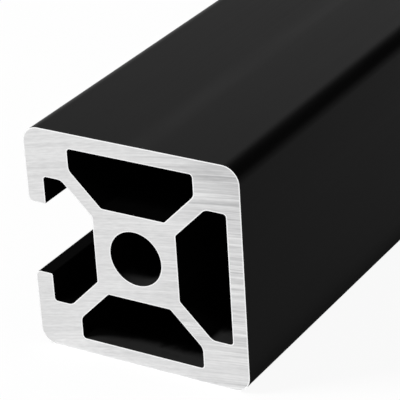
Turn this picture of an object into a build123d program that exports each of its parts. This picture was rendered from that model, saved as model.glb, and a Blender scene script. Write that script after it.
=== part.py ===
"""Square aluminium extrusion profile, 20 mm modular size, with one T-slot and three closed sides.

The bar is one extruded piece. Its section has a square core with a screw bore, four diagonal webs that run out to
solid corners, a T-slot on the -X side and a closed pocket behind each of the other three sides.

Frame, in millimetres: the origin is on the bore's axis at the front sawn end. +Y runs along the bar, away from that
end. +Z is up, and the T-slot opens towards -X.
"""

from build123d import *
import os
from math import sqrt

# Outer form
MODULE = 20.0  # width and height of the section
BAR_LENGTH = 300.0  # between the two sawn ends
CORNER_RADIUS = 1.5  # outer edges along the bar

# Core and webs
CORE_WIDTH = 7.8
BORE_DIAMETER = 4.8
WEB = 1.35  # thickness of the diagonal webs

# Closed pockets
SIDE_WALL = 1.35  # skin in front of each pocket
POCKET_SHOULDER = 4.2  # solid between a pocket's end and the side next to it

# T-slot
SLOT_MOUTH = 6.4  # opening between the two lips
LIP_THICKNESS = 1.65
SLOT_SHOULDER = 4.3  # solid between the slot's inside and the side next to it

# Radii of the die
FOOT_RADIUS = 0.3  # behind the side wall or the lips
KNEE_RADIUS = 0.8  # where a pocket or the slot starts to narrow
ROOT_RADIUS = 0.3  # where a web meets the core
LIP_OUTER_RADIUS = 0.5
LIP_INNER_RADIUS = 0.15

HALF_MODULE = MODULE / 2
HALF_CORE = CORE_WIDTH / 2
WEB_OFFSET = WEB / sqrt(2)  # from a diagonal to the face of its web, along X or Z

# Each space is drawn above the core and turned to its own side of the bar
SLOT_TURN = 90
POCKET_TURNS = (0, -90, 180)


def space_between_webs(skin, shoulder):
    """The hollow between two webs: behind a skin of that thickness, narrowing to the core."""
    half_width = HALF_MODULE - shoulder
    with BuildSketch() as space:
        with BuildLine():
            Polyline(
                (0, HALF_MODULE - skin),
                (half_width, HALF_MODULE - skin),
                (half_width, half_width + WEB_OFFSET),
                (HALF_CORE - WEB_OFFSET, HALF_CORE),
                (0, HALF_CORE),
            )
            mirror(about=Plane.YZ)
        make_face()
        fillet(space.vertices().group_by(Axis.Y)[1], KNEE_RADIUS)
        fillet(space.vertices().group_by(Axis.Y)[0], ROOT_RADIUS)
        fillet(space.vertices().group_by(Axis.Y)[-1], FOOT_RADIUS)
    return space.sketch


pocket = space_between_webs(SIDE_WALL, POCKET_SHOULDER)
slot_inside = space_between_webs(LIP_THICKNESS, SLOT_SHOULDER)

with BuildPart() as profile_bar:
    with BuildSketch(Plane.XZ) as section:
        RectangleRounded(MODULE, MODULE, CORNER_RADIUS)
        Circle(BORE_DIAMETER / 2, mode=Mode.SUBTRACT)
        for turn in POCKET_TURNS:
            add(pocket, rotation=turn, mode=Mode.SUBTRACT)

        add(slot_inside, rotation=SLOT_TURN, mode=Mode.SUBTRACT)
        with Locations((-HALF_MODULE, 0)):
            Rectangle(LIP_THICKNESS, SLOT_MOUTH, align=(Align.MIN, Align.CENTER), mode=Mode.SUBTRACT)
        for lip_edge in (-SLOT_MOUTH / 2, SLOT_MOUTH / 2):
            outer_corner = (-HALF_MODULE, lip_edge)
            inner_corner = (-HALF_MODULE + LIP_THICKNESS, lip_edge)
            fillet(section.vertices().sort_by_distance(outer_corner)[0], LIP_OUTER_RADIUS)
            fillet(section.vertices().sort_by_distance(inner_corner)[0], LIP_INNER_RADIUS)
    extrude(amount=-BAR_LENGTH)

profile_bar.part.label = "profile_bar"

os.makedirs("parts", exist_ok=True)
export_step(profile_bar.part, "parts/profile_bar.step")
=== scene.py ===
from math import atan2, ceil, cos, pi, radians, sin, sqrt, tan

import bmesh
import bpy
from mathutils import Matrix, Vector


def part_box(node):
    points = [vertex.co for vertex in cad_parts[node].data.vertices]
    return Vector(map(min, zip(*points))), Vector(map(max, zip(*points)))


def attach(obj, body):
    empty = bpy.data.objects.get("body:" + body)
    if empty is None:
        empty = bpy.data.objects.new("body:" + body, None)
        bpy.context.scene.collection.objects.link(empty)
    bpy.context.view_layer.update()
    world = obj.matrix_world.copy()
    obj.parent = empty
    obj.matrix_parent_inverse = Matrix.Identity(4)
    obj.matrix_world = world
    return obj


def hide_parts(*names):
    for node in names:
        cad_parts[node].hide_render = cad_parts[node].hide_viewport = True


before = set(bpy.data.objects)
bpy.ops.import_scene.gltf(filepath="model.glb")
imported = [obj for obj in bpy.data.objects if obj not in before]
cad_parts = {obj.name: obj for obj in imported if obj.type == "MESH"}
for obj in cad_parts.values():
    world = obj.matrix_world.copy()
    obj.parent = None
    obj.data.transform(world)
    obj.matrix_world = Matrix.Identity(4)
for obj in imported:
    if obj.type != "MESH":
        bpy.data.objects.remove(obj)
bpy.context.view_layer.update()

# A square aluminium extrusion bar: black anodised outside and in, with bare sawn ends.
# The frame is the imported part's: metres, the bar's bore on the Y axis, the front end at y = 0, +Z up.
# Sizes of the section and its broken edge are in millimetres, and so are the camera's aim, distance, lens
# and sensor. All other sizes are in metres.
MM = 0.001

bar_low, bar_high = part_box("profile_bar")
HALF_MODULE = (bar_high.x - bar_low.x) / 2 / MM
FRONT_END = bar_low.y
BACK_END = bar_high.y
BAR_MIDDLE = (FRONT_END + BACK_END) / 2
HALF_LENGTH = (BACK_END - FRONT_END) / 2
FLOOR_LEVEL = bar_low.z

RIGHT = (1, 0, 0)
BACK = (0, 1, 0)
UP = (0, 0, 1)

# The section
CORNER_RADIUS = 1.5
HALF_CORE = 3.9
BORE_RADIUS = 2.4
WEB = 1.35
WEB_OFFSET = WEB / sqrt(2)  # from a diagonal to the face of its web, along X or Z
SIDE_WALL = 1.35
POCKET_SHOULDER = 4.2
POCKET_HALF_WIDTH = HALF_MODULE - POCKET_SHOULDER
POCKET_TURNS = (0, 2, 3)  # quarter turns from the top to each pocket's side
LIP_THICKNESS = 1.65
HALF_MOUTH = 3.2
SLOT_SHOULDER = 4.3
SLOT_HALF_WIDTH = HALF_MODULE - SLOT_SHOULDER
FOOT_RADIUS = 0.3
KNEE_RADIUS = 0.8
ROOT_RADIUS = 0.3
LIP_OUTER_RADIUS = 0.5
LIP_INNER_RADIUS = 0.15

# The broken edge round each sawn end
EDGE_BREAK = 0.09  # its width
EDGE_DROP = 0.006  # how far it drops back along the bar

# How finely round stretches are drawn
ARC_STEP = radians(7.5)
BORE_STEPS = 96

# Grain of the finishes: how many features a metre holds along X, Y and Z
DIE_LINES = (3500.0, 9.0, 3500.0)
SHEEN_STRIPS = (240.0, 7.0, 240.0)
CLOUDS = (500.0, 120.0, 500.0)
PAINTED_LIGHT_GRAINS = (900.0, 900.0, 900.0)
SAW_PATCHES = (180.0, 180.0, 180.0)
NICKS = (1400.0, 1400.0, 1400.0)
DIE_RELIEF = 0.00001
SAW_RELIEF = 0.00002

# Painted sheen: a slightly lighter strip in the skin's colour along the bar, standing in for a sheen line
PAINTED_SHEEN_PLACE = 0.0009
PAINTED_SHEEN_HALF_WIDTH = 0.0019

# Painted light in the closed hollows: a pale grey pool on their low floors near each end, where light falls
# in through the open end
PAINTED_LIGHT_DEPTH = 0.0018  # it is full this far in from the sawn end
PAINTED_LIGHT_REACH = 0.0032  # and gone from here on
PAINTED_LIGHT_FRAY = 0.0016  # times the grain, which draws both back towards the end
PAINTED_LIGHT_TOP = -0.0012  # it is painted only below this height
PAINTED_LIGHT_FULL = -0.0018  # and is full below this one
PAINTED_LIGHT_LEVEL = (0.7, 0.95)  # how nearly a surface faces up before the painted light starts on it, and is full

# The saw's strokes
SAW_TILT = radians(11)  # they rise towards +X
BLADE_RADIUS = 0.16
EXIT_SIDE_AND_PAINTED_SHADE = 0.01  # how far along the strokes the blade leaves the metal; the face also grows darker over it, as painted shade
EXIT_CORNER_AND_PAINTED_SHADE = (0.010, 0.017)  # where the rough upper corner of that side starts and ends; it is also darkened there, as painted shade

# The floor
FLOOR_SIZE = 8.0
FLOOR_GREY = 0.9
FLOOR_WHITE = 0.93  # share of pure white near the bar, which leaves room for its shadow
FLOOR_NEAR = 0.5  # from this distance on the share rises
FLOOR_FAR = 2.0  # and here it is all white
FLOOR_GLOSS = 0.68  # how white the floor is in a gloss
CONTACT_SHADE = (0.0002, 0.002)  # distances from the bar between which a gloss goes over to that white

# Light
SKY_LIGHT = 0.3
KEY_LIGHT = {"direction": (-0.5, -0.35, 0.78), "distance": 1.2, "size": 0.3, "power": 12.0}
SHEEN_LIGHT = {"direction": (-0.45, 0.65, 0.62), "distance": 1.5, "size": 0.8, "power": 1.3}
CARD_DIRECTION = (0.35, 0.76, 0.45)
CARD_DISTANCE = 2.0
CARD_SIZE = 2.0

# Camera
CAMERA_AZIMUTH = radians(32.2)
CAMERA_ELEVATION = radians(26.4)
CAMERA_ROLL = radians(3.6)
CAMERA_AIM = (3.54, 4.54, 3.94)
CAMERA_DISTANCE = 174.2
CAMERA_LENS = 196.6
SENSOR_WIDTH = 36.0
NEAREST_SEEN = 0.01


class Wire:
    """One value that runs through a set of nodes. Arithmetic on it adds Math nodes."""

    def __init__(self, nodes, socket):
        self.nodes = nodes
        self.socket = socket

    def maths(self, operation, first, second):
        return self.nodes.add("ShaderNodeMath", {"operation": operation}, {0: first, 1: second})

    def __add__(self, other):
        return self.maths("ADD", self, other)

    __radd__ = __add__

    def __sub__(self, other):
        return self.maths("SUBTRACT", self, other)

    def __rsub__(self, other):
        return self.maths("SUBTRACT", other, self)

    def __mul__(self, other):
        return self.maths("MULTIPLY", self, other)

    __rmul__ = __mul__

    def __abs__(self):
        return self.maths("ABSOLUTE", self, 0.0)


class Nodes:
    """The nodes of one finish, floor or sky."""

    def __init__(self, owner):
        owner.use_nodes = True
        self.tree = owner.node_tree
        self.tree.nodes.clear()

    def add(self, kind, settings=None, sockets=None, output=0):
        """Adds a node: first its settings, then the values or wires of its sockets."""
        node = self.tree.nodes.new(kind)
        for name, value in (settings or {}).items():
            setattr(node, name, value)
        for name, value in (sockets or {}).items():
            if isinstance(value, Wire):
                self.tree.links.new(value.socket, node.inputs[name])
            else:
                node.inputs[name].default_value = value
        return Wire(self, node.outputs[output]) if node.outputs else None

    def blend(self, share, first, second):
        """A colour between two."""
        return self.add("ShaderNodeMix", {"data_type": "RGBA"}, {0: share, 6: first, 7: second}, output=2)

    def vector(self, operation, sockets, output=0):
        return self.add("ShaderNodeVectorMath", {"operation": operation}, sockets, output)

    def along(self, place, direction):
        """How far a place lies along a direction."""
        return self.vector("DOT_PRODUCT", {0: place, 1: direction}, output=1)

    def past_end(self, place):
        """How far a place lies past the nearer end of the bar. It is below zero within the bar's length."""
        return abs(self.along(place, BACK) - BAR_MIDDLE) - HALF_LENGTH

    def ramp(self, value, start, end, low=0.0, high=1.0, smooth=False):
        """Goes from low to high while the value goes from start to end, and stays level beyond them."""
        settings = {"interpolation_type": "SMOOTHSTEP" if smooth else "LINEAR"}
        return self.add("ShaderNodeMapRange", settings, {0: value, 1: start, 2: end, 3: low, 4: high})

    def noise(self, place, detail=2.0):
        """Soft noise, about 0.3 to 0.7, with features about one unit across."""
        return self.add("ShaderNodeTexNoise", sockets={"Vector": place, "Scale": 1.0, "Detail": detail})

    def grain(self, place, features, detail=2.0):
        """The same noise with that many features in a metre along X, Y and Z."""
        return self.noise(self.vector("MULTIPLY", {0: place, 1: features}), detail)

    def relief(self, height, strength, distance):
        sockets = {"Strength": strength, "Distance": distance, "Height": height}
        return self.add("ShaderNodeBump", sockets=sockets)

    def finish(self, sockets):
        """Ends a material with its one shader."""
        shader = self.add("ShaderNodeBsdfPrincipled", sockets=sockets)
        self.add("ShaderNodeOutputMaterial", sockets={"Surface": shader})


def new_finish(name):
    """A material, its nodes, and where each point lies in its object's own frame."""
    material = bpy.data.materials.new(name)
    nodes = Nodes(material)
    return material, nodes, nodes.add("ShaderNodeTexCoord", output=3)


def grey(level):
    return (level, level, level, 1.0)


def black_anodised():
    """Satin black dye in the oxide skin, with faint die lines along the bar, and a painted sheen: a slightly
    lighter strip in the colour along the bar.
    """
    material, nodes, place = new_finish("black_anodised_skin")
    die_lines = nodes.grain(place, DIE_LINES, detail=3.0)
    sheen_strips = nodes.grain(place, SHEEN_STRIPS)
    clouds = nodes.grain(place, CLOUDS)
    # painted sheen: the colour is lighter in a strip along the bar, close to its middle
    off_painted_sheen = abs(nodes.along(place, RIGHT) - PAINTED_SHEEN_PLACE)
    strip = nodes.ramp(off_painted_sheen, 0.0, PAINTED_SHEEN_HALF_WIDTH, low=1.0, high=0.0, smooth=True)
    shade = sheen_strips * 0.2 + clouds * 0.2 + strip * clouds
    nodes.finish({
        "Base Color": nodes.blend(shade, grey(0.0012), grey(0.009)),
        "Roughness": 0.28 + 0.10 * die_lines + 0.06 * clouds,
        "Specular IOR Level": 0.0174,
        "Normal": nodes.relief(die_lines, 0.25, DIE_RELIEF),
    })
    return material


def dull_skin_and_painted_shade(nodes, place):
    """The die lines, and the colour that they give the skin in the slot and the hollows: darker than
    outside, partly a deeper black skin and partly painted shade in these recesses.
    """
    die_lines = nodes.grain(place, DIE_LINES, detail=3.0)
    # painted shade, in part: this colour is darker than the outside skin's, for these recesses
    return die_lines, nodes.blend(die_lines, grey(0.0008), grey(0.0018))


def finish_dull(nodes, colour, die_lines):
    nodes.finish({"Base Color": colour, "Roughness": 0.6 + 0.2 * die_lines, "Specular IOR Level": 0.005})


def slot_black():
    """The same skin inside the T-slot, where it is duller, and darker partly as painted shade."""
    material, nodes, place = new_finish("black_anodised_slot")
    die_lines, skin = dull_skin_and_painted_shade(nodes, place)
    finish_dull(nodes, skin, die_lines)
    return material


def hollow_black():
    """The skin inside the closed hollows, darker partly as painted shade, with painted light: a grey pool on
    the low up-facing floors close to an end.
    """
    material, nodes, place = new_finish("black_anodised_hollow")
    die_lines, skin = dull_skin_and_painted_shade(nodes, place)
    grains = nodes.grain(place, PAINTED_LIGHT_GRAINS, detail=4.0)
    depth = -1 * nodes.past_end(place)
    near_end = nodes.ramp(depth + grains * PAINTED_LIGHT_FRAY, PAINTED_LIGHT_DEPTH, PAINTED_LIGHT_REACH, low=1.0, high=0.0, smooth=True)
    facing_up = nodes.along(nodes.add("ShaderNodeTexCoord", output=1), UP)
    level = nodes.ramp(facing_up, *PAINTED_LIGHT_LEVEL)
    low = nodes.ramp(nodes.along(place, UP), PAINTED_LIGHT_TOP, PAINTED_LIGHT_FULL)
    # painted light: a pale grey pool on the low up-facing floors near the end
    painted_light = near_end * level * low * (0.5 + grains)
    finish_dull(nodes, nodes.blend(painted_light, skin, grey(0.02)), die_lines)
    return material


def sawn_aluminium():
    """Bare metal across the sawn end, with the blade's strokes, rougher where the blade leaves it, and
    painted shade: darker towards +X and its upper right corner.
    """
    material, nodes, place = new_finish("sawn_aluminium")
    stroke = nodes.along(place, (cos(SAW_TILT), 0.0, sin(SAW_TILT)))
    across = nodes.along(place, (-sin(SAW_TILT), 0.0, cos(SAW_TILT)))
    bowed = across + stroke * stroke * (0.5 / BLADE_RADIUS)

    def strokes(length, pitch, detail=2.0):
        spot = nodes.add("ShaderNodeCombineXYZ", sockets={0: stroke * (1 / length), 1: bowed * (1 / pitch)})
        return nodes.noise(spot, detail)

    fine = strokes(length=0.016, pitch=0.00013)
    coarse = strokes(length=0.010, pitch=0.00042)
    dashes = strokes(length=0.0009, pitch=0.00015, detail=3.0)
    patches = nodes.grain(place, SAW_PATCHES)
    depth = fine * 0.45 + coarse * 0.55
    # painted shade: the colour is taken down towards +X and towards the upper right corner, beside the
    # rougher strokes there
    exit_side_and_painted_shade = nodes.ramp(stroke, 0.0, EXIT_SIDE_AND_PAINTED_SHADE, low=0.3)
    exit_corner_and_painted_shade = nodes.ramp(stroke + across, *EXIT_CORNER_AND_PAINTED_SHADE)
    contrast = exit_side_and_painted_shade * (1.6 + patches * 1.8 + 0.6 * exit_corner_and_painted_shade)
    flecks = (dashes - 0.5) * (0.65 - 0.3 * exit_side_and_painted_shade)
    share = 0.72 + (depth - 0.5) * contrast + flecks - 0.17 * exit_side_and_painted_shade - 0.22 * exit_corner_and_painted_shade
    nodes.finish({
        "Base Color": nodes.blend(share, (0.46, 0.46, 0.465, 1.0), grey(0.86)),
        "Metallic": 1.0,
        "Roughness": 0.62 - 0.2 * depth,
        "Normal": nodes.relief(depth, 0.35, SAW_RELIEF),
    })
    return material


def broken_edge():
    """The thin bright line round a sawn end, where the skin is cut back."""
    material, nodes, place = new_finish("broken_edge")
    nicks = nodes.grain(place, NICKS)
    colour = nodes.blend(nicks, (0.85, 0.85, 0.855, 1.0), grey(0.95))
    nodes.finish({"Base Color": colour, "Metallic": 1.0, "Roughness": 0.5 + 0.2 * nicks})
    return material


def rounded_outline(corners):
    """Points round a closed outline of (x, z, radius) corners, in millimetres."""
    points = []
    for number, (x, z, radius) in enumerate(corners):
        corner = Vector((x, z))
        to_last = (Vector(corners[number - 1][:2]) - corner).normalized()
        to_next = (Vector(corners[(number + 1) % len(corners)][:2]) - corner).normalized()
        half_angle = to_last.angle(to_next) / 2
        centre = corner + (to_last + to_next).normalized() * (radius / sin(half_angle))
        first = corner + to_last * (radius / tan(half_angle)) - centre
        turn = pi - 2 * half_angle
        if to_last.cross(to_next) > 0:
            turn = -turn
        steps = ceil(abs(turn) / ARC_STEP)
        start = atan2(first.y, first.x)
        for step in range(steps + 1):
            angle = start + turn * step / steps
            points.append(centre + radius * Vector((cos(angle), sin(angle))))
    return points


def turned(corners, quarter_turns):
    """The same corners after quarter turns about the bore."""
    for _ in range(quarter_turns):
        corners = [(-z, x, radius) for x, z, radius in corners]
    return corners


def metal_on_left(points, hollow):
    """The outline with the metal on its left: anticlockwise outside, clockwise round a hollow."""
    doubled_area = sum(points[i - 1].cross(points[i]) for i in range(len(points)))
    return points[::-1] if (doubled_area > 0) == hollow else points


def half_slot():
    """The T-slot's corners above its middle plane, from its floor out to the side."""
    lip_inside = -HALF_MODULE + LIP_THICKNESS
    return [
        (-HALF_CORE, HALF_CORE - WEB_OFFSET, ROOT_RADIUS),
        (-SLOT_HALF_WIDTH - WEB_OFFSET, SLOT_HALF_WIDTH, KNEE_RADIUS),
        (lip_inside, SLOT_HALF_WIDTH, FOOT_RADIUS),
        (lip_inside, HALF_MOUTH, LIP_INNER_RADIUS),
        (-HALF_MODULE, HALF_MOUTH, LIP_OUTER_RADIUS),
    ]


def outside_outline():
    upper = half_slot()
    lower = [(x, -z, radius) for x, z, radius in reversed(upper)]
    square = [
        (-HALF_MODULE, HALF_MODULE, CORNER_RADIUS),
        (HALF_MODULE, HALF_MODULE, CORNER_RADIUS),
        (HALF_MODULE, -HALF_MODULE, CORNER_RADIUS),
        (-HALF_MODULE, -HALF_MODULE, CORNER_RADIUS),
    ]
    return metal_on_left(rounded_outline(upper + square + lower), hollow=False)


def pocket_outline(quarter_turns):
    right = [
        (POCKET_HALF_WIDTH, HALF_MODULE - SIDE_WALL, FOOT_RADIUS),
        (POCKET_HALF_WIDTH, POCKET_HALF_WIDTH + WEB_OFFSET, KNEE_RADIUS),
        (HALF_CORE - WEB_OFFSET, HALF_CORE, ROOT_RADIUS),
    ]
    left = [(-x, z, radius) for x, z, radius in reversed(right)]
    return metal_on_left(rounded_outline(turned(right + left, quarter_turns)), hollow=True)


def bore_outline():
    angles = [2 * pi * step / BORE_STEPS for step in range(BORE_STEPS)]
    return metal_on_left([BORE_RADIUS * Vector((cos(a), sin(a))) for a in angles], hollow=True)


def moved_into_metal(points, distance):
    """The outline moved sideways, to its left, by that distance."""
    moved = []
    for number, point in enumerate(points):
        before = (point - points[number - 1]).normalized()
        after = (points[(number + 1) % len(points)] - point).normalized()
        left = Vector((-before.y - after.y, before.x + after.x)).normalized()
        slant = left.dot(Vector((-after.y, after.x)))
        moved.append(point + left * (distance / slant))
    return moved


def in_slot(point):
    """Whether a point of the outside outline lies inside the T-slot."""
    lip_rounding = -HALF_MODULE + LIP_OUTER_RADIUS / 2
    return abs(point.y) < SLOT_HALF_WIDTH + FOOT_RADIUS and lip_rounding < point.x < 0


def add_ring(mesh, outline, y):
    return [mesh.verts.new((point.x * MM, y, point.y * MM)) for point in outline]


def ring_edges(mesh, ring):
    return [mesh.edges.get((ring[i - 1], ring[i])) for i in range(len(ring))]


def add_band(mesh, ring, next_ring, finishes):
    """The strip of faces between two rings of one outline, with a finish for each face."""
    for i in range(len(ring)):
        face = mesh.faces.new((ring[i - 1], ring[i], next_ring[i], next_ring[i - 1]))
        face.material_index = finishes[i]
        face.smooth = True


def add_wall(mesh, outline, finishes, edge_finish):
    """One outline drawn from end to end of the bar, with its edge broken at both ends. Gives its rings."""
    cut_back = moved_into_metal(outline, EDGE_BREAK)
    shapes = (cut_back, outline, outline, cut_back)
    stations = (FRONT_END, FRONT_END + EDGE_DROP * MM, BACK_END - EDGE_DROP * MM, BACK_END)
    rings = [add_ring(mesh, shape, y) for shape, y in zip(shapes, stations)]
    broken = [edge_finish] * len(outline)
    for ring, next_ring, bands in zip(rings, rings[1:], (broken, finishes, broken)):
        add_band(mesh, ring, next_ring, bands)
    for ring in rings:
        for line in ring_edges(mesh, ring):
            line.smooth = False
    return rings


def close_end(mesh, rings, finish):
    """Fills a sawn end between the outside and the hollows."""
    edges = [line for ring in rings for line in ring_edges(mesh, ring)]
    filled = bmesh.ops.triangle_fill(mesh, edges=edges, use_beauty=True)
    for face in filled["geom"]:
        if isinstance(face, bmesh.types.BMFace):
            face.material_index = finish


def add_object(name, data):
    thing = bpy.data.objects.new(name, data)
    bpy.context.scene.collection.objects.link(thing)
    return thing


def make_bar(finishes):
    """The whole bar: each outline of the section drawn along Y, with its two ends filled."""
    skin, slot, hollow, edge, sawn = range(len(finishes))
    mesh = bmesh.new()
    outside = outside_outline()
    walls = [add_wall(mesh, outside, [slot if in_slot(point) else skin for point in outside], edge)]
    for outline in [bore_outline()] + [pocket_outline(turns) for turns in POCKET_TURNS]:
        walls.append(add_wall(mesh, outline, [hollow] * len(outline), edge))
    close_end(mesh, [rings[0] for rings in walls], sawn)
    close_end(mesh, [rings[-1] for rings in walls], sawn)
    bmesh.ops.recalc_face_normals(mesh, faces=mesh.faces)

    data = bpy.data.meshes.new("extruded_bar")
    mesh.to_mesh(data)
    mesh.free()
    for material in finishes:
        data.materials.append(material)
    bar = add_object("extruded_bar", data)
    even = bar.modifiers.new("flat_sides_stay_flat", "WEIGHTED_NORMAL")
    even.keep_sharp = True
    return bar


def add_square(name, size, material):
    """A flat square about the origin."""
    mesh = bmesh.new()
    bmesh.ops.create_grid(mesh, x_segments=1, y_segments=1, size=size / 2)
    data = bpy.data.meshes.new(name)
    mesh.to_mesh(data)
    mesh.free()
    data.materials.append(material)
    return add_object(name, data)


def set_facing_origin(thing, direction, distance):
    """Puts a light or a card out in a direction, turned to face the front end's middle."""
    way = Vector(direction).normalized()
    thing.location = way * distance
    thing.rotation_euler = way.to_track_quat("Z", "Y").to_euler()


def seen_directly(nodes, share=1.0):
    """1 for what the camera shows, and a share for what a gloss or a clear surface shows."""
    path = nodes.add("ShaderNodeLightPath").socket.node
    rays = ("Is Camera Ray", "Is Glossy Ray", "Is Transmission Ray")
    camera, glossy, clear = (Wire(nodes, path.outputs[name]) for name in rays)
    return camera + (glossy + clear) * share


def pale_floor():
    """Shows white, keeps the bar's shadow, and is darker in a gloss close to the bar."""
    material, nodes, place = new_finish("pale_floor")
    material.cycles.emission_sampling = "NONE"
    lit = nodes.add("ShaderNodeBsdfDiffuse", sockets={"Color": grey(FLOOR_GREY)})
    white = nodes.add("ShaderNodeEmission", sockets={"Color": grey(1.0), "Strength": 1.0})
    past_side = abs(nodes.along(place, RIGHT)) - HALF_MODULE * MM
    past_bar = past_side.maths("MAXIMUM", past_side, nodes.past_end(place))
    open_floor = nodes.ramp(past_bar, *CONTACT_SHADE)
    from_origin = nodes.vector("LENGTH", {0: place}, output=1)
    whiteness = nodes.ramp(from_origin, FLOOR_NEAR, FLOOR_FAR, low=FLOOR_WHITE)
    shown_white = seen_directly(nodes, open_floor * FLOOR_GLOSS) * whiteness
    shown = nodes.add("ShaderNodeMixShader", sockets={0: shown_white, 1: lit, 2: white})
    nodes.add("ShaderNodeOutputMaterial", sockets={"Surface": shown})
    return material


def make_floor():
    floor = add_square("floor", FLOOR_SIZE, pale_floor())
    floor.location = (0, 0, FLOOR_LEVEL)


def make_sky():
    """White behind everything, and a plain even light on the bar."""
    world = bpy.data.worlds.new("studio")
    bpy.context.scene.world = world
    world.cycles.sampling_method = "NONE"
    nodes = Nodes(world)
    light = nodes.add("ShaderNodeBackground", sockets={"Color": grey(1.0), "Strength": SKY_LIGHT})
    white = nodes.add("ShaderNodeBackground", sockets={"Color": grey(1.0), "Strength": 1.0})
    shown = nodes.add("ShaderNodeMixShader", sockets={0: seen_directly(nodes), 1: light, 2: white})
    nodes.add("ShaderNodeOutputWorld", sockets={"Surface": shown})


def make_softbox(name, direction, distance, size, power):
    """A square soft light."""
    light = bpy.data.lights.new(name, "AREA")
    light.size = size
    light.energy = power
    set_facing_origin(add_object(name, light), direction, distance)


def dark_cloth():
    material = bpy.data.materials.new("dark_cloth")
    nodes = Nodes(material)
    cloth = nodes.add("ShaderNodeBsdfDiffuse", sockets={"Color": grey(0.02)})
    nodes.add("ShaderNodeOutputMaterial", sockets={"Surface": cloth})
    return material


def make_dark_card():
    """A dark card at the back right that only a gloss shows: it draws the dark line along the bar's edge."""
    card = add_square("dark_card", CARD_SIZE, dark_cloth())
    set_facing_origin(card, CARD_DIRECTION, CARD_DISTANCE)
    card.visible_camera = False
    card.visible_diffuse = False
    card.visible_shadow = False


def make_camera():
    """Looks at the front end from its right and above, with the bar running away to the upper right."""
    ahead = Vector((-sin(CAMERA_AZIMUTH), cos(CAMERA_AZIMUTH), 0)) * cos(CAMERA_ELEVATION)
    forward = ahead - Vector(UP) * sin(CAMERA_ELEVATION)
    level = Vector((cos(CAMERA_AZIMUTH), sin(CAMERA_AZIMUTH), 0))
    right = level * cos(CAMERA_ROLL) + forward.cross(level) * sin(CAMERA_ROLL)
    up = right.cross(forward)

    data = bpy.data.cameras.new("camera")
    data.sensor_width = SENSOR_WIDTH
    data.lens = CAMERA_LENS
    data.clip_start = NEAREST_SEEN
    camera = add_object("camera", data)
    place = Matrix.Translation((Vector(CAMERA_AIM) - forward * CAMERA_DISTANCE) * MM)
    camera.matrix_world = place @ Matrix((right, up, -forward)).transposed().to_4x4()
    bpy.context.scene.camera = camera


bar = make_bar([black_anodised(), slot_black(), hollow_black(), broken_edge(), sawn_aluminium()])
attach(bar, "root")
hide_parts("profile_bar")

make_floor()
make_sky()
make_softbox("key_light", **KEY_LIGHT)
make_softbox("sheen_light", **SHEEN_LIGHT)
make_dark_card()
make_camera()
bpy.context.scene.view_settings.view_transform = "Standard"
